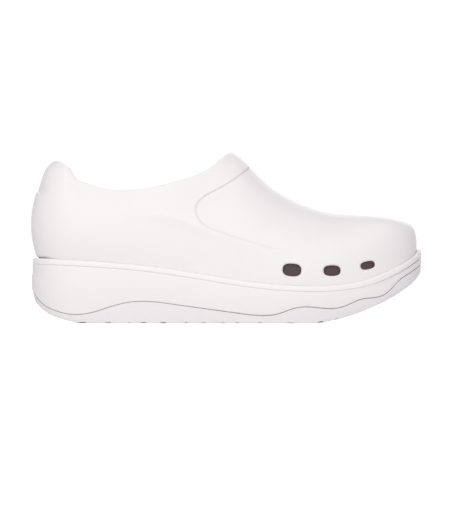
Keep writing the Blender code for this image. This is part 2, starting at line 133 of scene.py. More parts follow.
def along(q):
    """The x at share q of the way round from heel to toe."""
    return BASE_BACK + (BASE_FRONT - BASE_BACK) * (1 - np.cos(math.pi * q)) / 2


# Plan of the upper's base: half-width, and how far its midline swings to the inner side
OUTLINE = Table(
    ("x", "half", "mid"),
    (
        (BASE_BACK, 0.0, 0.0),
        (20.0, 27.3, 0.0),
        (40.0, 32.0, 0.0),
        (75.0, 33.2, -0.5),
        (105.0, 34.4, -2.2),
        (140.0, 39.4, -2.6),
        (175.0, 45.0, -1.0),
        (200.0, BALL_HALF, 1.0),
        (225.0, 45.0, 3.0),
        (248.0, 40.0, 5.2),
        (263.0, 32.0, 6.9),
        (271.5, 22.0, 7.8),
        (BASE_FRONT, 0.0, 8.4),
    ),
    key=around,
)

# Side view of the sole: the midsole's top, the wavy line above the outsole, and the tread's face
SEAT = Table(
    ("x", "z"),
    (
        (0.0, HEEL_SEAT),
        (30.0, 41.0),
        (60.0, 39.0),
        (90.0, 36.0),
        (115.0, 32.3),
        (140.0, 28.2),
        (165.0, 24.7),
        (190.0, BALL_SEAT + 0.2),
        (208.0, BALL_SEAT),
        (227.0, 24.2),
        (244.0, 27.9),
        (258.0, 33.5),
        (270.0, 40.0),
        (LENGTH, 47.2),
    ),
)
WAVE = Table(
    ("x", "z"),
    (
        (0.0, 25.0),
        (7.0, 15.6),
        (17.0, 9.4),
        (31.0, 6.2),
        (46.0, 8.2),
        (62.0, 13.2),
        (80.0, 15.7),
        (100.0, 13.9),
        (125.0, 10.4),
        (150.0, 7.0),
        (167.0, 5.6),
        (177.0, 6.9),
        (187.0, 10.4),
        (197.0, 11.8),
        (213.0, 10.5),
        (224.0, 12.3),
        (236.0, 17.2),
        (250.0, 19.4),
        (256.0, 23.2),
        (262.0, 29.6),
        (271.0, 36.0),
        (LENGTH, 42.6),
    ),
)
TREAD_FACE = Table(
    ("x", "z"),
    (
        (0.0, 20.0),
        (4.0, 14.6),
        (9.0, 9.4),
        (16.0, 5.3),
        (25.0, 2.3),
        (38.0, 0.0),
        (60.0, 0.0),
        (120.0, 0.0),
        (180.0, 0.0),
        (201.0, 0.0),
        (212.0, 1.5),
        (227.0, 5.0),
        (244.0, 11.5),
        (256.0, 17.4),
        (267.0, 24.2),
        (275.0, 31.0),
        (LENGTH, 37.8),
    ),
)

# Where the tread's face is flat, and where the midsole's top levels out at the toe
FLAT_FROM_X, FLAT_TO_X = 38.0, 201.0
SEAT_LEVEL_X = 278.0

# Side view of the upper: the collar's edge with its heel tab, and the ridge from throat to toe
TOPLINE = Table(
    ("x", "z"),
    (
        (12.0, TAB_HEIGHT - 0.4),
        (18.5, TAB_HEIGHT),
        (23.0, 114.3),
        (27.2, 111.2),
        (30.0, 107.0),
        (32.6, 103.4),
        (36.0, 101.7),
        (41.0, 99.9),
        (48.0, 97.5),
        (56.0, 95.7),
        (66.0, COLLAR_HEIGHT),
        (78.0, 95.9),
        (90.0, 98.0),
        (102.0, 101.0),
        (114.0, 104.6),
        (124.0, 108.7),
        (131.0, 113.5),
        (137.5, 119.1),
        (THROAT_X, INSTEP_HEIGHT),
    ),
)
RIDGE = Table(
    ("x", "z"),
    (
        (THROAT_X, INSTEP_HEIGHT),
        (149.0, 119.2),
        (156.5, 112.0),
        (165.0, 103.3),
        (174.5, 95.2),
        (184.0, 89.5),
        (196.0, 84.1),
        (209.0, 79.8),
        (223.0, 77.8),
        (240.0, 76.8),
        (251.0, 75.8),
        (262.0, 74.0),
        (271.0, 72.2),
        (LENGTH, 70.4),
    ),
)

# Shape of each section of the upper: squareness of its arch, how far its side swells out, the share
# of its half-width at which the collar's edge stands, and the share by which its top leans in
SECTION = Table(
    ("x", "square", "swell", "reach", "lean"),
    (
        (BASE_BACK, 2.0, 5.7, 0.75, 0.0),
        (20.0, 2.0, 5.0, 0.77, 0.0),
        (40.0, 2.0, 3.7, 0.85, 0.0),
        (COLLAR_WIDEST_X, 2.0, 2.7, 0.92, 0.0),
        (105.0, 2.0, 2.0, 0.92, 0.0),
        (THROAT_X, 2.0, 1.5, 0.92, 0.0),
        (175.0, 2.15, 1.2, 0.92, 0.0),
        (200.0, 2.35, 1.2, 0.92, 0.0),
        (225.0, 2.8, 1.0, 0.92, 0.0),
        (250.0, 4.2, 0.7, 0.92, 0.015),
        (BASE_FRONT, 10.0, 1.0, 0.92, 0.07),
    ),
)

# The soft shoulder on the quarter: its height along the shoe, and its crest as a share of its lift
SHOULDER = Table(
    ("x", "z", "crest"),
    (
        (55.0, 78.0, 0.0),
        (79.0, 77.7, 0.4),
        (93.0, 76.8, 0.9),
        (104.0, 75.0, 1.1),
        (113.5, 71.7, 1.1),
        (122.5, 67.8, 1.0),
        (130.5, 64.1, 0.9),
        (145.0, 58.9, 0.65),
        (157.0, 55.7, 0.45),
        (172.0, 51.7, 0.2),
        (188.0, 48.0, 0.0),
    ),
)

# How far the shoulder stands proud, how it fades up and down the wall, and its crest's rounding
SHOULDER_LIFT = 1.8
SHOULDER_FADE_UP, SHOULDER_FADE_DOWN = 18.0, 6.0
SHOULDER_EDGE = 1.0

# The vamp's groove from where it fades out on the side up to the ridge: the section it is on,
# its turn up that section in degrees, and how deep it is there as a share of its full depth
GROOVE = (
    (188.0, 20.4, 0.0),
    (183.0, 20.7, 0.08),
    (170.0, 20.3, 0.22),
    (157.0, 19.5, 0.32),
    (144.0, 19.5, 0.38),
    (131.0, 20.8, 0.42),
    (123.4, 22.5, 0.46),
    (119.6, 24.7, 0.5),
    (118.3, 27.6, 0.56),
    (119.6, 31.5, 0.7),
    (124.6, 36.6, 0.9),
    (131.0, 40.9, 1.0),
    (137.7, 45.0, 1.0),
    (143.0, 50.0, 1.0),
    (148.0, 56.0, 1.0),
    (152.0, 63.4, 1.0),
    (154.5, 70.8, 1.0),
    (156.0, 78.0, 1.0),
    (157.0, 90.0, 1.0),
)
GROOVE_POINTS = 120

# The groove's full depth, its width, and how much it spreads where it is shallow
GROOVE_DEPTH, GROOVE_WIDTH, GROOVE_SPREAD = 0.8, 0.45, 1.4

# How far the vamp's edge is sunk beside the groove, how that fades, and a distance ahead of the
# groove's two ends that is on the vamp
VAMP_SUNK, VAMP_SUNK_FADE, VAMP_AHEAD = 0.4, 12.0, 40.0

# The step on the back of the heel, below its tab: its height and depth, where it ends on the side, the
# height that it forms over, its fall along the side, and the share of it that is gone at the tab's top
TAB_STEP_Z, TAB_STEP_DEPTH, TAB_STEP_END_X = 93.3, 1.0, 14.0
TAB_STEP_RISE, TAB_STEP_FALL, TAB_STEP_FADE = 0.6, 0.25, 0.6

# The soft curl of the tab's edge, with its outer face rolled further in, and the crevice above the welt
TAB_CURL, TAB_ROLL = 3.2, 1.4
TAB_CURL_HEIGHT, TAB_CURL_END_X = 6.5, 30.0
CREVICE_DEPTH, CREVICE_WIDTH, CREVICE_END_X = 1.2, 0.8, 20.0

# Vents on the outer side: middle, size and tilt in side view
VENTS = (
    {"x": 186.5, "z": 38.0, "wide": 13.2, "tall": 9.0, "tilt": -4.0},
    {"x": 215.0, "z": 37.5, "wide": 12.0, "tall": 7.5, "tilt": 0.0},
    {"x": 240.4, "z": 41.3, "wide": 10.3, "tall": 5.7, "tilt": 11.5},
)
VENT_SIDES = 48
VENT_SQUARE = 2.6

# The plug that cuts a vent: how deep each of its rings lies below the wall's face, and how much wider
# than the vent it is there, which leaves a soft lip
VENT_RINGS = ((-6.0, 4.0), (-1.0, 1.8), (0.0, 0.9), (0.5, 0.3), (1.2, 0.0), (14.0, 0.0))
VENT_REFINE_REACHES = (7.0, 4.0)

# A place well out from the outer side, from which the wall's face is looked for
SIGHT_FROM_Y = -200.0


def ease(share):
    """0 to 1, level at both ends."""
    held = np.clip(share, 0.0, 1.0)
    return held * held * (3 - 2 * held)


def fading(x, end):
    """1 at the back of the heel, easing to 0 at end."""
    return 1 - ease((x - BASE_BACK) / (end - BASE_BACK))


def seat(x):
    """Height of the midsole's top, which levels out at the tip of the toe."""
    return SEAT.at("z", np.minimum(x, SEAT_LEVEL_X))


def welt_top(x):
    """Height of the welt above the midsole: slim along the side, full round the toe."""
    full = ease((x - WELT_SLIM_TO_X) / (WELT_FULL_FROM_X - WELT_SLIM_TO_X))
    return WELT_SLIM_HEIGHT + (WELT_FULL_HEIGHT - WELT_SLIM_HEIGHT) * full


def wave(x):
    """Height of the wavy line between midsole and outsole."""
    return WAVE.at("z", x)


def tread_face(x):
    """Height of the tread's face: flat between heel and ball, rising in a rocker at both ends."""
    flat = (x >= FLAT_FROM_X) & (x <= FLAT_TO_X)
    return np.where(flat, 0.0, np.maximum(0.0, TREAD_FACE.at("z", x)))


def base_line(q, side):
    """Plan points of one side at shares q; a share past either end goes on round to the other side."""
    past = (q < 0) | (q > 1)
    held = np.where(q < 0, -q, np.where(q > 1, 2 - q, q))
    x = along(held)
    y = OUTLINE.at("mid", x) + np.where(past, -side, side) * OUTLINE.at("half", x)
    return np.stack([x, y], -1)


def outline(q, side, out=0.0):
    """Plan points at shares q of one side, moved out from the upper's base by out."""
    step = 0.001
    run = base_line(q + step, side) - base_line(q - step, side)
    run /= np.linalg.norm(run, axis=-1, keepdims=True)
    away = np.stack([-run[..., 1], run[..., 0]], -1)
    return base_line(q, side) + away * np.asarray(out * side)[..., None]


def spine_x(x):
    """Where on the midline the section that stands on the base at x begins."""
    heel = np.clip((HEEL_FAN_END - x) / (HEEL_FAN_END - BASE_BACK), 0, None)
    toe = np.clip((x - TOE_FAN_START) / (BASE_FRONT - TOE_FAN_START), 0, None)
    return x + HEEL_FAN_PULL * heel**2 - TOE_FAN_PULL * toe**2


def collar_reach(x):
    """Share of the half-width at which the collar's edge stands, closing to none at the throat."""
    closing = np.clip((x - COLLAR_WIDEST_X) / (THROAT_X - COLLAR_WIDEST_X), 0, 1)
    return SECTION.at("reach", x) * np.sqrt(1 - closing**2)


def last_turn(x):
    """The turn at which the section at x ends: the collar's edge, or a quarter circle at the ridge."""
    return np.arccos(collar_reach(x) ** (SECTION.at("square", x) / 2))


def shoulder(x, z):
    """How far the quarter's soft shoulder stands proud at a place in side view."""
    crest = SHOULDER_LIFT * np.maximum(0.0, SHOULDER.at("crest", x))
    above = z - SHOULDER.at("z", x)
    upper_side = np.exp(-((above / SHOULDER_FADE_UP) ** 2))
    drop = np.sqrt(above**2 + SHOULDER_EDGE**2) - SHOULDER_EDGE
    lower_side = np.exp(-drop / SHOULDER_FADE_DOWN)
    return crest * np.where(above > 0, upper_side, lower_side)


def skin(x, turn, side):
    """Points of the upper's outer face, on the section that stands on the base at x, at a turn up it."""
    start_x = spine_x(x)
    start = np.stack([start_x, OUTLINE.at("mid", start_x)], -1)
    away = base_line(around(x), side) - start
    half = np.linalg.norm(away, axis=-1)
    away /= half[..., None]
    low = seat(x) + welt_top(x)
    power = 2 / SECTION.at("square", x)
    reach = collar_reach(x)
    last_rise = np.sin(last_turn(x)) ** power
    swell_top = 1 - (1 - last_rise) * ease((THROAT_X - x) / THROAT_EASE)
    collar = low + (TOPLINE.at("z", start_x + away[..., 0] * half * reach) - low) / last_rise
    rise = np.sin(turn) ** power
    level = np.maximum(np.cos(turn) - ROUNDING, 0.0)
    out = half * level**power * (1 - SECTION.at("lean", x) * rise)
    ridge = RIDGE.at("z", start_x + away[..., 0] * out)
    z = low + (np.where(x < THROAT_X, collar, ridge) - low) * rise
    share = np.minimum(rise / swell_top, 1.0)
    out = out + SECTION.at("swell", x) * np.sin(math.pi * share**BULGE_SKEW)
    flat = start + away * out[..., None]
    y = flat[..., 1] + side * shoulder(flat[..., 0], z) * np.minimum(1.0, out / half)
    return np.stack([flat[..., 0], y, z], -1)


SHIFT_SAMPLES = 401


def frame_shift():
    """The way to the frame's origin, which is under the middle of the box that the welt's edge sets."""
    shares = np.linspace(0, 1, SHIFT_SAMPLES)
    edge = np.concatenate([outline(shares, side, WELT_REACH) for side in (OUTER, INNER)])
    low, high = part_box("welt")
    x, y = (np.array(low + high)[:2] / 2) / MM - (edge.min(0) + edge.max(0)) / 2
    return np.array([x, y, 0.0])


SHIFT = frame_shift()

# A fresh grid's half-size and the digits that tell its rows apart, and the bend in degrees above which
# an edge is shaded sharp
GRID_HALF, GRID_DIGITS = 0.5, 5
SHARP_ANGLE = 50.0


def woven(points, wrap=False):
    """A bmesh grid through an array of points, with doubles welded and, if it wraps, its ends capped."""
    rows, columns = points.shape[:2]
    bm = bmesh.new()
    bmesh.ops.create_grid(bm, x_segments=columns - 1, y_segments=rows - 1, size=GRID_HALF)
    verts = sorted(bm.verts, key=lambda vert: (round(vert.co.y, GRID_DIGITS), vert.co.x))
    places = ((points + SHIFT) * MM).reshape(-1, 3)
    for vert, place in zip(verts, places.tolist()):
        vert.co = place
    bmesh.ops.remove_doubles(bm, verts=bm.verts, dist=WELD)
    if wrap:
        bmesh.ops.holes_fill(bm, edges=[edge for edge in bm.edges if edge.is_boundary])
    bm.normal_update()
    bmesh.ops.recalc_face_normals(bm, faces=bm.faces)
    if wrap and bm.calc_volume(signed=True) < 0:
        bmesh.ops.reverse_faces(bm, faces=bm.faces)
    return bm


def new_object(name, bm):
    """A new object in the scene with the bmesh as its mesh."""
    mesh = bpy.data.meshes.new(name)
    bm.to_mesh(mesh)
    obj = bpy.data.objects.new(name, mesh)
    bpy.context.scene.collection.objects.link(obj)
    return obj


def piece(name, bm, finish, node=None):
    """Makes the bmesh a smooth shaded piece of the shoe that rides on its one body, and frees it."""
    obj = new_object(name, bm)
    bm.free()
    obj.data.shade_smooth()
    obj.data.set_sharp_from_angle(angle=math.radians(SHARP_ANGLE))
    obj.data.materials.append(finish)
    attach(obj, "root")
    if node:
        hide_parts(node)
    return obj


class Socket:
    """A shader value that Python's own operators can work with."""

    def __init__(self, finish, socket):
        self.finish = finish
        self.socket = socket

    def _math(self, operation, other):
        return self.finish.add("ShaderNodeMath", {"operation": operation}, {0: self, 1: other})

    def __add__(self, other):
        return self._math("ADD", other)

    __radd__ = __add__

    def __mul__(self, other):
        return self._math("MULTIPLY", other)

    __rmul__ = __mul__


def mixed(first, second, share):
    """Two shader values in one, the first by its share."""
    return first * share + second * (1 - share)


def colour(red, green, blue):
    """An opaque colour."""
    return (red, green, blue, 1.0)


# How far painted shade greys a groove or seam, and the grey of that painted shade
PAINTED_SHADE_SHARE = 0.45
PAINTED_SHADE_GREY = colour(0.50, 0.46, 0.47)


class Finish:
    """A material made of one shader and the nodes that feed it."""

    def __init__(self, name, **constants):
        self.material = bpy.data.materials.new(name)
        self.material.use_nodes = True
        self.tree = self.material.node_tree
        self.shader = self.tree.nodes["Principled BSDF"]
        self.give(**constants)

    def add(self, kind, settings=None, inputs=None, output=0):
        """One node: its settings first, then the values or links of its sockets."""
        node = self.tree.nodes.new(kind)
        for key, value in (settings or {}).items():
            setattr(node, key, value)
        for key, value in (inputs or {}).items():
            self.feed(node.inputs[key], value)
        return Socket(self, node.outputs[output])

    def feed(self, socket, value):
        """Links a shader value to a socket, or sets the socket's own number or colour."""
        if isinstance(value, Socket):
            self.tree.links.new(value.socket, socket)
        else:
            socket.default_value = value

    def give(self, **values):
        """Feeds the shader's own sockets, such as base_color for Base Color."""
        for key, value in values.items():
            self.feed(self.shader.inputs[key.replace("_", " ").title()], value)

    def place(self):
        """A point's place on the object."""
        return self.add("ShaderNodeTexCoord", output="Object")

    def noise(self, scale, detail=2.0):
        """Soft noise over the object."""
        inputs = {"Vector": self.place(), "Scale": scale, "Detail": detail}
        return self.add("ShaderNodeTexNoise", None, inputs)

    def bands(self, scale, direction, distortion=0.0):
        """Even bands across the object, like threads."""
        inputs = {"Vector": self.place(), "Scale": scale, "Distortion": distortion}
        return self.add("ShaderNodeTexWave", {"bands_direction": direction}, inputs)

    def blend(self, share, first, second):
        """A colour between two colours."""
        inputs = {"Factor": share, 6: first, 7: second}
        return self.add("ShaderNodeMix", {"data_type": "RGBA"}, inputs, output=2)

    def with_painted_shade(self, tone):
        """The tone with painted shade: greyer in grooves and seams, where shade falls."""
        # The groove attribute holds how much shade is painted at each point
        groove = self.add("ShaderNodeAttribute", {"attribute_name": "groove"}, output="Fac")
        return self.blend(groove * PAINTED_SHADE_SHARE, tone, PAINTED_SHADE_GREY)

    def bump(self, height, distance, strength):
        """A surface raised by the height, at most by the distance in metres."""
        inputs = {"Height": height, "Distance": distance, "Strength": strength}
        return self.add("ShaderNodeBump", None, inputs)


# Pattern scales of each finish, its lowest roughness with the span above it, and its grain in metres
FOAM_CLOUDS, FOAM_GLOSS, FOAM_PEBBLE, FOAM_FINE_PEBBLE = 22.0, 90.0, 420.0, 1500.0
FOAM_ROUGH, FOAM_ROUGH_SPAN, FOAM_GRAIN = 0.44, 0.14, 0.00006
RUBBER_CLOUDS, RUBBER_GLOSS, RUBBER_PEBBLE = 35.0, 160.0, 1100.0
RUBBER_ROUGH, RUBBER_ROUGH_SPAN, RUBBER_GRAIN = 0.55, 0.15, 0.00008
LINING_THREADS, FOOTBED_THREADS, TEXTILE_NAP = 260.0, 200.0, 700.0
TEXTILE_ROUGH, TEXTILE_ROUGH_SPAN, TEXTILE_GRAIN = 0.82, 0.14, 0.0003

# Shares: the fine pebble in the foam's grain, the ribs in a knit, and the knit in a textile's tone
FINE_PEBBLE_SHARE, RIB_SHARE, KNIT_SHARE = 0.6, 0.6, 0.7


def foam_finish(name, light, shade):
    """White moulded foam: a satin skin with a fine pebble, faint clouds in its tone, and painted shade
    in its grooves and seams.
    """
    finish = Finish(name)
    clouds = finish.noise(FOAM_CLOUDS, detail=3.0)
    fine, coarse = (finish.noise(scale, detail=1.0) for scale in (FOAM_FINE_PEBBLE, FOAM_PEBBLE))
    pebble = mixed(fine, coarse, FINE_PEBBLE_SHARE)
    finish.give(
        base_color=finish.with_painted_shade(finish.blend(clouds, light, shade)),
        roughness=FOAM_ROUGH + FOAM_ROUGH_SPAN * finish.noise(FOAM_GLOSS),
        normal=finish.bump(pebble, FOAM_GRAIN, strength=0.6),
    )
    return finish.material


def rubber_finish(name, light, shade):
    """The outsole's rubber: duller and a touch cooler than the foam, with painted shade along its seam.
    """
    finish = Finish(name)
    clouds = finish.noise(RUBBER_CLOUDS, detail=4.0)
    finish.give(
        base_color=finish.with_painted_shade(finish.blend(clouds, light, shade)),
        roughness=RUBBER_ROUGH + RUBBER_ROUGH_SPAN * finish.noise(RUBBER_GLOSS),
        normal=finish.bump(finish.noise(RUBBER_PEBBLE), RUBBER_GRAIN, strength=0.7),
    )
    return finish.material


def textile_finish(name, light, shade, threads):
    """A close knit in two threads, with a soft nap."""
    finish = Finish(name, sheen_weight=0.15, sheen_roughness=0.5)
    ribs = finish.bands(threads, "DIAGONAL", distortion=1.5)
    rows = finish.bands(threads, "X")
    knit = mixed(ribs, rows, RIB_SHARE)
    nap = finish.noise(TEXTILE_NAP, detail=3.0)
    finish.give(
        base_color=finish.blend(mixed(knit, nap, KNIT_SHARE), shade, light),
        roughness=TEXTILE_ROUGH + TEXTILE_ROUGH_SPAN * nap,
        normal=finish.bump(knit, TEXTILE_GRAIN, strength=0.8),
    )
    return finish.material


FOAM = foam_finish("foam_white", colour(0.885, 0.86, 0.85), colour(0.858, 0.833, 0.825))
# The welt's foam: the same white foam made lighter, a painted highlight for the light on its round top
WELT_FOAM_LIT = foam_finish("welt_white_lit", colour(0.915, 0.892, 0.884), colour(0.892, 0.868, 0.86))
RUBBER = rubber_finish("outsole_rubber", colour(0.86, 0.83, 0.842), colour(0.815, 0.785, 0.80))
LINING = textile_finish(
    "lining_textile", colour(0.106, 0.07, 0.073), colour(0.086, 0.056, 0.06), LINING_THREADS
)
FOOTBED = textile_finish(
    "footbed_textile", colour(0.36, 0.305, 0.295), colour(0.26, 0.215, 0.21), FOOTBED_THREADS
)


# The upper's grid: columns run up from the base, and lean so that they meet the collar's edge squarely
HEEL_COLUMNS, COLLAR_COLUMNS, VAMP_COLUMNS = 56, 58, 78
COLLAR_EDGE_COLUMNS = HEEL_COLUMNS + COLLAR_COLUMNS
WALL_ROWS, WALL_SAMPLES = 60, 120
THROAT_FOOT_X = 156.0
VAMP_SPREAD = 1.3

# The rounding of the wall's rims, which are its edges that bend by more than an angle in degrees
RIM_ROUND, RIM_STEPS, RIM_ANGLE = 1.3, 3, 60.0

# The depth of the wall's outer layer, and how far from the groove each refining of its grid reaches
OUTER_LAYER = WALL / 3
FINE_REACHES = (4.6, 3.0, 1.7)

# The tab's step is refined within a share of the reach and a margin, the crevice in wide reaches only
TAB_FINE_SHARE, TAB_FINE_MARGIN = 0.5, 1.0
CREVICE_TRACE, CREVICE_FINE_ABOVE = 0.01, 3.0


def upper_columns():
    """Where each column of one side stands on the base, and on which section it ends, heel to toe."""
    heel = along(np.linspace(0, around(COLLAR_WIDEST_X), HEEL_COLUMNS, endpoint=False))
    share = np.linspace(0, 1, COLLAR_COLUMNS, endpoint=False)
    collar_foot = COLLAR_WIDEST_X + (THROAT_FOOT_X - COLLAR_WIDEST_X) * share
    collar_top = COLLAR_WIDEST_X + (THROAT_X - COLLAR_WIDEST_X) * np.sin(share * math.pi / 2)
    share = np.linspace(0, 1, VAMP_COLUMNS)
    throat_q = around(THROAT_FOOT_X)
    vamp_foot = along(throat_q + (1 - throat_q) * share**VAMP_SPREAD)
    vamp_top = THROAT_X + (BASE_FRONT - THROAT_X) * share
    return np.concatenate([heel, collar_foot, vamp_foot]), np.concatenate([heel, collar_top, vamp_top])


def wall_points(side, rows):
    """Points of one side of the upper: rows evenly up each column, the columns from heel to toe."""
    foot, top = upper_columns()
    share = np.linspace(0, 1, WALL_SAMPLES + 1)[:, None]
    x = foot + (top - foot) * share**2
    dense = skin(x, share * last_turn(top), side)
    steps = np.linalg.norm(np.diff(dense, axis=0), axis=-1)
    lengths = np.concatenate([np.zeros((1, len(foot))), np.cumsum(steps, axis=0)])
    wanted = np.linspace(0, 1, rows)
    even = np.empty((rows, len(foot), 3))
    for column in range(len(foot)):
        along_line = lengths[:, column] / lengths[-1, column]
        for axis in range(3):
            even[:, column, axis] = np.interp(wanted, along_line, dense[:, column, axis])
    base = even[:1].copy()
    base[..., 2] = seat(base[..., 0]) + GAP
    return np.concatenate([base, even])


def both_sides(points_of):
    """Both sides as one sheet, from the toe back along the outer side and forward along the inner."""
    outer, inner = points_of(OUTER), points_of(INNER)
    return np.concatenate([outer[:, ::-1], inner[:, 1:]], axis=1)


def groove_line():
    """The groove's centre line over both sides, with its depth at each point."""
    path = Table(("step", "x", "turn", "depth"), [(i, *row) for i, row in enumerate(GROOVE)])
    steps = np.linspace(0, len(GROOVE) - 1, GROOVE_POINTS)
    turn = np.radians(np.minimum(path.at("turn", steps), 90.0))
    depth = np.clip(path.at("depth", steps), 0, 1)
    outer, inner = (skin(path.at("x", steps), turn, side) for side in (OUTER, INNER))
    return np.concatenate([outer, inner[-2::-1]]), np.concatenate([depth, depth[-2::-1]])


def from_groove(points):
    """Distance of points to the groove, its depth at the nearest place, and 1 on the vamp's side."""
    line, depth = groove_line()
    start, run = line[:-1], np.diff(line, axis=0)
    run_squared = (run**2).sum(-1)
    middle = (line[0] + line[-1]) / 2 + np.array([VAMP_AHEAD, 0.0, 0.0])
    best = np.full(len(points), np.inf)
    deep = np.zeros(len(points))
    ahead = np.zeros(len(points))
    for i in range(len(start)):
        share = np.clip(((points - start[i]) @ run[i]) / run_squared[i], 0, 1)
        near = start[i] + share[:, None] * run[i]
        distance = np.linalg.norm(points - near, axis=1)
        closer = distance < best
        best[closer] = distance[closer]
        deep[closer] = (depth[i] + (depth[i + 1] - depth[i]) * share)[closer]
        normal = np.cross(run[i], np.cross(middle - start[i], run[i]))
        ahead[closer] = np.sign((points - near) @ normal)[closer]
    return best, deep, ahead


def local(bm):
    """The bmesh's points in the shoe's own millimetres."""
    return np.array([vert.co for vert in bm.verts]) / MM - SHIFT


def refine(bm, chosen):
    """Divides the edges whose two ends are chosen."""
    bm.verts.index_update()
    edges = [edge for edge in bm.edges if all(chosen[vert.index] for vert in edge.verts)]
    bmesh.ops.subdivide_edges(bm, edges=edges, cuts=1, use_grid_fill=True)
    bm.normal_update()


def tab_step(points):
    """How far the back of the heel tab is set in at each point."""
    x, z = points[:, 0], points[:, 2]
    line = TAB_STEP_Z - TAB_STEP_FALL * (x - BASE_BACK)
    left = 1 - TAB_STEP_FADE * ease((z - line) / (TAB_HEIGHT - TAB_STEP_Z))
    return TAB_STEP_DEPTH * left * ease((z - line) / TAB_STEP_RISE) * fading(x, TAB_STEP_END_X)


def tab_curl(points, below):
    """How far the tab's edge curls in over the foot at each point, and most so its outer face."""
    x, z = points[:, 0] - below, points[:, 2]
    share = np.clip(1 - (TOPLINE.at("z", x) - z) / TAB_CURL_HEIGHT, 0, 1)
    outer = np.clip(1 - below / WALL, 0, 1)
    return (TAB_CURL + TAB_ROLL * outer) * share**2 * fading(x, TAB_CURL_END_X)


def crevice(points):
    """How deep the crevice above the welt is at each point, as a share of its full depth."""
    x, z = points[:, 0], points[:, 2]
    above = (z - seat(x) - welt_top(x)) / CREVICE_WIDTH
    return np.exp(-(above**2)) * fading(x, CREVICE_END_X)


def paint_shade(bm, marks):
    """Stores how much shade is painted at each point, for the finish to read."""
    store = bm.verts.layers.float.new("groove")
    for vert, mark in zip(bm.verts, marks.tolist()):
        vert[store] = mark


def seam(away, width):
    """1 on a seam, easing to 0 at a width away from it."""
    return 1 - ease(np.abs(away) / width)


def below_face(bm, wall):
    """How far each of the bmesh's points lies in from the wall's outer face, and the way out there."""
    nearest = [wall.find_nearest(vert.co) for vert in bm.verts]
    return np.array([hit[3] for hit in nearest]) / MM, np.array([hit[1] for hit in nearest])


def carve(bm, wall):
    """Shapes the outer face: the vamp's groove and sunk edge, the tab's step and roll, the crevice; and
    paints shade into the groove and the crevice.
    """
    for reach in FINE_REACHES:
        points = local(bm)
        distance, _, _ = from_groove(points)
        step_reach = reach * TAB_FINE_SHARE + TAB_FINE_MARGIN
        at_step = (np.abs(points[:, 2] - TAB_STEP_Z) < step_reach) & (points[:, 0] < TAB_STEP_END_X)
        at_crevice = (crevice(points) > CREVICE_TRACE) & (reach > CREVICE_FINE_ABOVE)
        outside = below_face(bm, wall)[0] < OUTER_LAYER
        refine(bm, ((distance < reach) | at_step | at_crevice) & outside)
    points = local(bm)
    distance, deep, ahead = from_groove(points)
    dip = np.exp(-((distance / (GROOVE_WIDTH * (1 + GROOVE_SPREAD * (1 - deep)))) ** 2))
    sunk = VAMP_SUNK * deep * (ahead > 0) * np.exp(-distance / VAMP_SUNK_FADE) * (1 - dip)
    below, out = below_face(bm, wall)
    outside = below < OUTER_LAYER
    inward = GROOVE_DEPTH * deep * dip + sunk + tab_step(points) + CREVICE_DEPTH * crevice(points)
    normals = np.array([vert.normal for vert in bm.verts])
    level = out * (1.0, 1.0, 0.0)
    moves = normals * (inward * outside)[:, None] + level * tab_curl(points, below)[:, None]
    for vert, move in zip(bm.verts, moves.tolist()):
        vert.co -= Vector(move) * MM
    bm.normal_update()
    # Painted shade in the groove and the crevice, as deep as each is
    paint_shade(bm, np.maximum(deep * dip, crevice(points)) * outside)


def near_vents(bm, wall):
    """Makes the grid finer round the vents, so that the wall stays smooth up to their lips."""
    for reach in VENT_REFINE_REACHES:
        x, y, z = local(bm).T
        near = np.zeros(len(x), bool)
        for vent in VENTS:
            across = (x - vent["x"]) / (vent["wide"] / 2 + reach)
            height = (z - vent["z"]) / (vent["tall"] / 2 + reach)
            near |= (across**2 + height**2 < 1) & (y < 0)
        refine(bm, near & (below_face(bm, wall)[0] < OUTER_LAYER))


def vent_plug(vent, wall):
    """A round-cornered plug with a flared mouth, to cut a vent with a soft lip."""
    angle = np.linspace(0, 2 * math.pi, VENT_SIDES + 1)
    right = np.sign(np.cos(angle)) * np.abs(np.cos(angle)) ** (2 / VENT_SQUARE)
    up = np.sign(np.sin(angle)) * np.abs(np.sin(angle)) ** (2 / VENT_SQUARE)
    tilt = math.radians(vent["tilt"])
    rings = []
    for depth, wider in VENT_RINGS:
        across = right * (vent["wide"] / 2 + wider)
        height = up * (vent["tall"] / 2 + wider)
        x = vent["x"] + across * math.cos(tilt) - height * math.sin(tilt)
        z = vent["z"] + across * math.sin(tilt) + height * math.cos(tilt)
        y = np.array([wall_y(wall, a, b) for a, b in zip(x, z)]) + depth
        rings.append(np.stack([x, y, z], -1))
    rings = np.array(rings)
    rings[:, -1] = rings[:, 0]
    return woven(rings, wrap=True)


def wall_y(wall, x, z):
    """Where the outer side's face lies at a place in side view."""
    eye = Vector(((x + SHIFT[0]) * MM, SIGHT_FROM_Y * MM, z * MM))
    hit = wall.ray_cast(eye, Vector((0, 1, 0)))[0]
    return hit.y / MM - SHIFT[1]


def cut(bm, plugs):
    """Cuts the plugs out of a closed bmesh, and frees them."""
    body = new_object("body_to_cut", bm)
    tools = [new_object("plug", plug) for plug in plugs]
    for tool in tools:
        step = body.modifiers.new("cut", "BOOLEAN")
        step.operation = "DIFFERENCE"
        step.solver = "MANIFOLD"
        step.object = tool
    graph = bpy.context.evaluated_depsgraph_get()
    mesh = bpy.data.meshes.new_from_object(body.evaluated_get(graph))
    bm.clear()
    bm.from_mesh(mesh)
    bmesh.ops.dissolve_degenerate(bm, dist=SLIVER, edges=bm.edges)
    bm.normal_update()
    for obj in [body, *tools]:
        used = obj.data
        bpy.data.objects.remove(obj)
        bpy.data.meshes.remove(used)
    bpy.data.meshes.remove(mesh)
    for plug in plugs:
        plug.free()


def face_out(bm):
    """Turns the faces of a sheet that wraps the shoe outwards."""
    back = min(bm.faces, key=lambda face: face.calc_center_median().x)
    if back.normal.x > 0:
        bmesh.ops.reverse_faces(bm, faces=bm.faces)
    bm.normal_update()


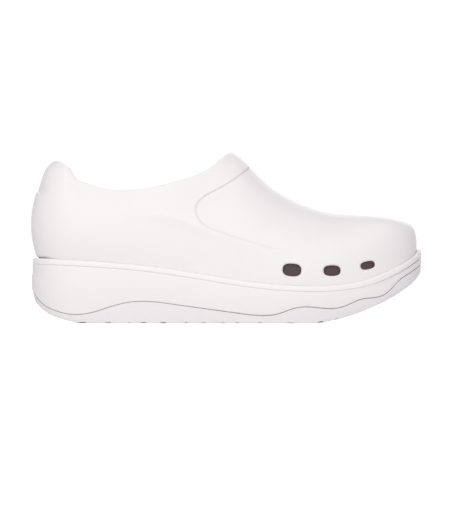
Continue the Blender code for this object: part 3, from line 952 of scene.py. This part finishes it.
def build_upper():
    """The one moulding over the foot: a hollow wall with round rims, vents and its carved lines."""
    bm = woven(both_sides(lambda side: wall_points(side, WALL_ROWS)))
    face_out(bm)
    wall = BVHTree.FromBMesh(bm)
    bmesh.ops.solidify(bm, geom=bm.faces[:], thickness=WALL * MM)
    bm.normal_update()
    rims = [edge for edge in bm.edges if edge.calc_face_angle(0) > math.radians(RIM_ANGLE)]
    bmesh.ops.bevel(
        bm,
        geom=rims,
        offset=RIM_ROUND * MM,
        offset_type="OFFSET",
        segments=RIM_STEPS,
        profile=0.5,
        affect="EDGES",
        clamp_overlap=True,
        material=-1,
    )
    near_vents(bm, wall)
    cut(bm, [vent_plug(vent, wall) for vent in VENTS])
    carve(bm, wall)
    piece("upper_foam", bm, FOAM, "upper")


SOLE_STATIONS = 220
ROUND_STEPS = 4

# Painted shade along the seams: its width, its strength on the wavy seam, which has none from the heel
# up to a place and then eases in, and where it begins on the seam below the welt
SEAM_WIDTH = 0.8
WAVE_SHADE, WAVE_UNSHADED_TO_X, WAVE_SHADE_EASE = 0.7, 100.0, 60.0
TOP_SHADE_FROM_X = 215.0

# The raised face inside a seam, which stops sight through it: how far inside the upper's base it
# begins, and how far it stays below the piece above
SEAM_STOP, SEAM_CLEAR = 0.6, 0.08

# The midsole: the rounding of its edges, its swell round the heel, and the ledge on the back of the heel
# with the lines that keep it crisp
MIDSOLE_EDGE, MIDSOLE_TOP_EDGE = 0.5, 0.3
HEEL_SWELL, HEEL_SWELL_END_X = 0.6, 34.0
LEDGE_SHARE, LEDGE_DEPTH, LEDGE_END_X = 0.585, 0.55, 18.0
LEDGE_RISE, LEDGE_GUARD = 0.15, 0.5

# The outsole: the rounding of its edges, and the taper of its side to the tread, which fades at the toe
OUTSOLE_EDGE = 0.5
OUTSOLE_TAPER, OUTSOLE_TAPER_SHARE = 2.5, 0.25
TOE_STEEPER, TOE_STEEP_X = 0.9, 255.0


def quarter(steps=ROUND_STEPS):
    """Pairs of (across, up) round a quarter of a circle, from its foot to its side."""
    angles = np.linspace(0, math.pi / 2, steps)
    return [(math.sin(a), 1 - math.cos(a)) for a in angles]


def rounded(out, height, radius, top=False):
    """Levels of a layer's rounded edge, bottom to top: out and height place its corner along x."""
    turns = quarter()
    if top:
        turns = [(across, -up) for across, up in reversed(turns)]
    levels = []
    for across, up in turns:
        levels.append((
            lambda x, a=across: out(x) - radius * (1 - a),
            lambda x, u=up: height(x) + radius * u,
        ))
    return levels


def wave_shade(x, z):
    """How much shade is painted along the wavy seam, none from the heel to the waist."""
    strength = WAVE_SHADE * ease((x - WAVE_UNSHADED_TO_X) / WAVE_SHADE_EASE)
    return strength * seam(z - wave(x), SEAM_WIDTH)


def sole_stations():
    """Shares of the way from heel to toe at which the sole's layers are drawn."""
    return np.linspace(0, 1, SOLE_STATIONS)


def raised(plan, heights):
    """Plan points at their heights."""
    return np.stack([*plan.T, heights], -1)


def layer(levels):
    """A closed sole layer: levels gives its side from bottom to top as (out, height) functions of x."""
    q = sole_stations()
    rims = []
    for side in (OUTER, INNER):
        rim = []
        for out, height in levels:
            plan = outline(q, side, out(along(q)))
            rim.append(raised(plan, height(plan[:, 0])))
        rims.append(rim if side == OUTER else rim[::-1])
    ring = rims[0] + rims[1]
    return woven(np.array(ring + ring[:1]), wrap=True)


def build_midsole():
    """The foam between the welt and the wavy line, swelling at the heel and set in above its ledge."""

    def side(x):
        return WELT_REACH + HEEL_SWELL * fading(x, HEEL_SWELL_END_X)

    def side_above(x):
        return side(x) - LEDGE_DEPTH * fading(x, LEDGE_END_X)

    def ledge_z(x):
        return wave(x) + LEDGE_SHARE * (seat(x) - wave(x))

    levels = rounded(side, lambda x: wave(x) + GAP / 2, MIDSOLE_EDGE)
    for above in (-LEDGE_GUARD, 0.0):
        levels.append((side, lambda x, a=above: ledge_z(x) + a))
    for above in (LEDGE_RISE, LEDGE_RISE + LEDGE_GUARD):
        levels.append((side_above, lambda x, a=above: ledge_z(x) + a))
    levels += rounded(side_above, seat, MIDSOLE_TOP_EDGE, top=True)
    levels.append((lambda x: -SEAM_STOP, lambda x: seat(x) + GAP - SEAM_CLEAR))
    bm = layer(levels)
    x, _, z = local(bm).T
    # Painted shade along the wavy seam, and along the seam below the welt towards the toe
    top_shade = ease((x - TOP_SHADE_FROM_X) / (BASE_FRONT - TOP_SHADE_FROM_X))
    paint_shade(bm, np.maximum(wave_shade(x, z), top_shade * seam(z - seat(x), SEAM_WIDTH)))
    piece("midsole_foam", bm, FOAM, "midsole")


# The welt's roundings and its lift off the midsole, what they gain at the toe, and what its tip gains
WELT_TOP_ROUND, WELT_TOP_STEPS = 1.6, 6
WELT_LOW_ROUND, WELT_LIFT = 0.3, 0.08
WELT_TOE_X, WELT_TOE_ROUND, WELT_TOE_LOW_ROUND, WELT_TOE_LIFT = 252.0, 1.2, 0.2, 0.24
WELT_TIP_FROM, WELT_TIP_RISE, WELT_TIP_ROUND = 0.92, 2.5, 1.5


def build_welt():
    """A strip with a full round on its top edge and a small one below, taller and rounder at the toe."""
    q = sole_stations()
    toe = ease((along(q) - WELT_TOE_X) / (BASE_FRONT - WELT_TOE_X))
    tip = ease((q - WELT_TIP_FROM) / (1 - WELT_TIP_FROM))
    bottom = WELT_LIFT + WELT_TOE_LIFT * toe
    top = welt_top(along(q)) + WELT_TIP_RISE * tip
    low_round = WELT_LOW_ROUND + WELT_TOE_LOW_ROUND * toe
    wide = WELT_TOP_ROUND + WELT_TOE_ROUND * toe
    tall = WELT_TOP_ROUND + WELT_TIP_ROUND * tip
    levels = [(GAP, bottom)]
    for across, up in quarter():
        levels.append((WELT_REACH - low_round * (1 - across), bottom + low_round * up))
    for across, up in reversed(quarter(WELT_TOP_STEPS)):
        levels.append((WELT_REACH - wide * (1 - across), top - tall * up))
    levels += [(GAP, top), (GAP, bottom)]

    def strip(side):
        rows = []
        for out, above in levels:
            plan = outline(q, side, out)
            rows.append(raised(plan, seat(plan[:, 0]) + above))
        return np.array(rows)

    piece("welt_foam", woven(both_sides(strip), wrap=True), WELT_FOAM_LIT, "welt")


# The tread's channels across the sole: where each crosses the midline, its width, and its depth at
# the sole's edge; towards the midline every channel gets deeper
CHANNELS = (
    (30.0, 5.5, 0.6),
    (48.5, 4.5, 0.6),
    (63.5, 2.6, 0.5),
    (73.5, 4.0, 0.65),
    (87.5, 4.5, 0.7),
    (103.5, 2.2, 0.65),
    (115.5, 4.0, 0.5),
    (128.5, 3.6, 0.5),
    (138.5, 2.2, 0.6),
    (154.0, 3.6, 0.5),
    (175.5, 5.0, 0.5),
    (197.0, 3.6, 0.75),
    (208.0, 2.6, 0.6),
)
CHANNEL_HALF_SPAN = 60.0
CHANNEL_DEEPER, CHANNEL_EDGE_Y = 1.1, 34.0

# Fine cuts midway between the channels, and short channels under the toe
FINE_CUT_WIDE, FINE_CUT_DEEP, FINE_CUT_HALF_SPAN = 1.1, 0.5, 22.0
TOE_CHANNEL_XS = (222.0, 237.0, 252.0)
TOE_CHANNEL_WIDE, TOE_CHANNEL_DEEP, TOE_CHANNEL_HALF_SPAN = 2.6, 0.7, 24.0

# Each channel's rake to the toe, the points along it, how far its walls draw in at each level, and the
# corners of its section as sides and levels, where one level is its depth
CHEVRON_RAKE, CHANNEL_STEPS, CHANNEL_DRAFT = 0.22, 41, 0.15
CHANNEL_CORNERS = ((-1, -2), (1, -2), (1, 1), (-1, 1), (-1, -2))


def tread_bar(middle, wide, deep, half_span):
    """A chevron bar under the outsole that follows the tread's face."""
    across = np.linspace(-half_span, half_span, CHANNEL_STEPS)
    sweep = middle + CHEVRON_RAKE * np.abs(across)
    depth = deep * (1 + CHANNEL_DEEPER * (1 - ease(np.abs(across) / CHANNEL_EDGE_Y)))
    y = OUTLINE.at("mid", middle) + across
    lines = []
    for side, level in CHANNEL_CORNERS:
        x = sweep + side * (wide / 2 - CHANNEL_DRAFT * level)
        lines.append(np.stack([x, y, tread_face(x) + level * depth], -1))
    return woven(np.array(lines), wrap=True)


def tread_bars():
    """Every bar that the tread's channels and fine cuts are cut with."""
    bars = [tread_bar(*channel, CHANNEL_HALF_SPAN) for channel in CHANNELS]
    for (before, *_), (after, *_) in zip(CHANNELS, CHANNELS[1:]):
        bars.append(tread_bar((before + after) / 2, FINE_CUT_WIDE, FINE_CUT_DEEP, FINE_CUT_HALF_SPAN))
    for x in TOE_CHANNEL_XS:
        bars.append(tread_bar(x, TOE_CHANNEL_WIDE, TOE_CHANNEL_DEEP, TOE_CHANNEL_HALF_SPAN))
    return bars


def build_outsole():
    """The rubber below the wavy line, with a rocker at both ends and channels in its tread."""

    def side(x):
        return WELT_REACH - GAP

    def side_below(x):
        taper = np.minimum(OUTSOLE_TAPER, OUTSOLE_TAPER_SHARE * (wave(x) - tread_face(x)))
        taper *= 1 - TOE_STEEPER * ease((x - TOE_STEEP_X) / (BASE_FRONT - TOE_STEEP_X))
        return side(x) - taper

    levels = rounded(side_below, tread_face, OUTSOLE_EDGE)
    levels += rounded(side, lambda x: wave(x) - GAP / 2, OUTSOLE_EDGE, top=True)
    levels.append((lambda x: -SEAM_STOP, lambda x: wave(x) + GAP / 2 - SEAM_CLEAR))
    bm = layer(levels)
    cut(bm, tread_bars())
    # Painted shade along the wavy seam
    x, _, z = local(bm).T
    paint_shade(bm, wave_shade(x, z))
    piece("outsole_rubber", bm, RUBBER, "outsole")


# The footbed's rows across, its dish, and how far its edge rolls in and down
FOOTBED_ROWS = 25
FOOTBED_DISH = 0.9
FOOTBED_ROLL_IN, FOOTBED_ROLL_DOWN = 1.2, 1.0


def build_footbed():
    """The insole: a textile-faced pad, slightly dished, with a rolled edge."""
    q = sole_stations()
    inside = -(WALL + 2 * GAP)
    bottom = [outline(q, side, inside) for side in (OUTER, INNER)]
    top_edge = [outline(q, side, inside - FOOTBED_ROLL_IN) for side in (OUTER, INNER)]
    rows = []
    for share in np.linspace(0, 1, FOOTBED_ROWS):
        plan = top_edge[0] * (1 - share) + top_edge[1] * share
        dish = FOOTBED_DISH * (1 - (2 * share - 1) ** 4)
        rows.append(raised(plan, seat(plan[:, 0]) + GAP + INSOLE_THICKNESS - dish))
    sides = []
    for plan in bottom:
        foot = seat(plan[:, 0]) + GAP
        sides.append((raised(plan, foot), raised(plan, foot + INSOLE_THICKNESS - FOOTBED_ROLL_DOWN)))
    (low, high), (inner_low, inner_high) = sides
    ring = [low, high, *rows, inner_high, inner_low, low]
    obj = piece("footbed", woven(np.array(ring), wrap=True), FOOTBED, "insole")


# The lining: the rows and samples of its grid, what the wall keeps bare below the collar's edge and
# above its foot, the gap to the wall, and the thickness
LINING_ROWS, LINING_SAMPLES = 40, 160
LINING_DROP, LINING_LIFT = 7.0, 0.9
LINING_CLEAR, LINING_THICKNESS = 0.2, 0.6


def lining_points(side):
    """One side of the wall behind the lining: up each column, to a little below the collar's edge."""
    points = wall_points(side, LINING_SAMPLES)[1:]
    _, top = upper_columns()
    steps = np.linalg.norm(np.diff(points, axis=0), axis=-1).sum(0)
    from_throat = np.linalg.norm(points[-1] - points[-1, COLLAR_EDGE_COLUMNS], axis=-1)
    from_rim = np.where(top > THROAT_X, from_throat, 0)
    end = 1 - np.clip(LINING_DROP - from_rim, 0, None) / steps
    share = LINING_LIFT / steps + np.linspace(0, 1, LINING_ROWS)[:, None] * (end - LINING_LIFT / steps)
    have = np.linspace(0, 1, len(points))
    even = np.empty((LINING_ROWS, len(top), 3))
    for column in range(len(top)):
        for axis in range(3):
            even[:, column, axis] = np.interp(share[:, column], have, points[:, column, axis])
    return even


def build_lining():
    """The textile inside the wall, from the footbed to a little below the collar's edge."""
    bm = woven(both_sides(lining_points))
    face_out(bm)
    for vert, normal in [(vert, vert.normal.copy()) for vert in bm.verts]:
        vert.co -= normal * (WALL + LINING_CLEAR) * MM
    bm.normal_update()
    area = sum(face.calc_area() for face in bm.faces)
    bmesh.ops.solidify(bm, geom=bm.faces[:], thickness=LINING_THICKNESS * MM)
    bm.normal_update()
    obj = piece("lining", bm, LINING)


# The floor: how far it reaches from the middle in metres, its tone, and how brightly the camera sees it
FLOOR_REACH = 12.0
FLOOR_TONE = colour(0.82, 0.82, 0.82)
FLOOR_GLOW = 0.6

# The surround: how bright the camera sees it, and the tint and strength with which it lights the shoe
BACKDROP_STRENGTH = 1.05
SURROUND_TINT, SURROUND_STRENGTH = colour(0.985, 0.937, 1.0), 0.68

# Soft lights that face the shoe's middle: name, place and size in metres, watts and tint
LIGHT_TARGET = (0, 0, 0.06)
LIGHTS = (
    ("key_front", (-0.45, -2.15, 0.75), (2.2, 1.4), 11.2, (0.96, 1.0, 0.93)),
    ("near_front", (-0.1, -1.2, 0.7), (1.0, 0.8), 3.9, (0.96, 1.0, 0.93)),
    ("back_fill", (0.3, 2.2, 0.9), (2.0, 1.2), 15.0, (0.98, 1.0, 0.95)),
)

# The camera: the middle and height of its view, its lens and sensor, and how far it sees in metres
VIEW_X, VIEW_Z, VIEW_HEIGHT = 138.9, 45.8, 370.9
LENS, SENSOR = 600.0, 36.0
CLIP_END = 60.0


def floor_finish():
    """A plain pale floor that the camera sees as bright as the backdrop."""
    finish = Finish("floor_pale", roughness=0.9)
    ray = finish.add("ShaderNodeLightPath", output="Is Camera Ray")
    glow = finish.blend(ray, colour(0, 0, 0), colour(1, 1, 1))
    finish.give(base_color=FLOOR_TONE, emission_color=glow, emission_strength=FLOOR_GLOW)
    return finish.material


def build_stage():
    """The floor that the shoe stands on."""
    bm = bmesh.new()
    bmesh.ops.create_grid(bm, x_segments=1, y_segments=1, size=FLOOR_REACH)
    floor = new_object("floor", bm)
    bm.free()
    floor.data.materials.append(floor_finish())


def build_world():
    """A bright white surround that lights the shoe softly from all round."""
    world = bpy.data.worlds.new("studio")
    bpy.context.scene.world = world
    world.use_nodes = True
    tree = world.node_tree
    seen = tree.nodes["Background"]
    seen.inputs["Color"].default_value = colour(1, 1, 1)
    seen.inputs["Strength"].default_value = BACKDROP_STRENGTH
    lit = tree.nodes.new("ShaderNodeBackground")
    lit.inputs["Color"].default_value = SURROUND_TINT
    lit.inputs["Strength"].default_value = SURROUND_STRENGTH
    ray = tree.nodes.new("ShaderNodeLightPath")
    mix = tree.nodes.new("ShaderNodeMixShader")
    tree.links.new(ray.outputs["Is Camera Ray"], mix.inputs[0])
    tree.links.new(lit.outputs[0], mix.inputs[1])
    tree.links.new(seen.outputs[0], mix.inputs[2])
    tree.links.new(mix.outputs[0], tree.nodes["World Output"].inputs[0])


def soft_light(name, place, size, watts, tint):
    """A rectangular light that faces the shoe and that the camera doesn't see."""
    lamp = bpy.data.lights.new(name, "AREA")
    lamp.shape = "RECTANGLE"
    lamp.size, lamp.size_y = size
    lamp.energy = watts
    lamp.color = tint
    obj = bpy.data.objects.new(name, lamp)
    obj.location = place
    obj.rotation_euler = (Vector(LIGHT_TARGET) - Vector(place)).to_track_quat("-Z", "Y").to_euler()
    obj.visible_camera = False
    bpy.context.scene.collection.objects.link(obj)


def build_camera():
    """Level with the shoe, square to its outer side, through a long lens."""
    data = bpy.data.cameras.new("camera")
    data.lens = LENS
    data.sensor_width = SENSOR
    data.clip_end = CLIP_END
    camera = bpy.data.objects.new("camera", data)
    away = VIEW_HEIGHT * LENS / SENSOR
    camera.location = (Vector((VIEW_X, 0, VIEW_Z)) + Vector(SHIFT) + Vector((0, -away, 0))) * MM
    camera.rotation_euler = (math.radians(90), 0, 0)
    bpy.context.scene.collection.objects.link(camera)
    bpy.context.scene.camera = camera


build_upper()
build_welt()
build_midsole()
build_outsole()
build_footbed()
build_lining()
build_stage()
build_world()
for light in LIGHTS:
    soft_light(*light)
build_camera()
bpy.context.scene.view_settings.view_transform = "Standard"
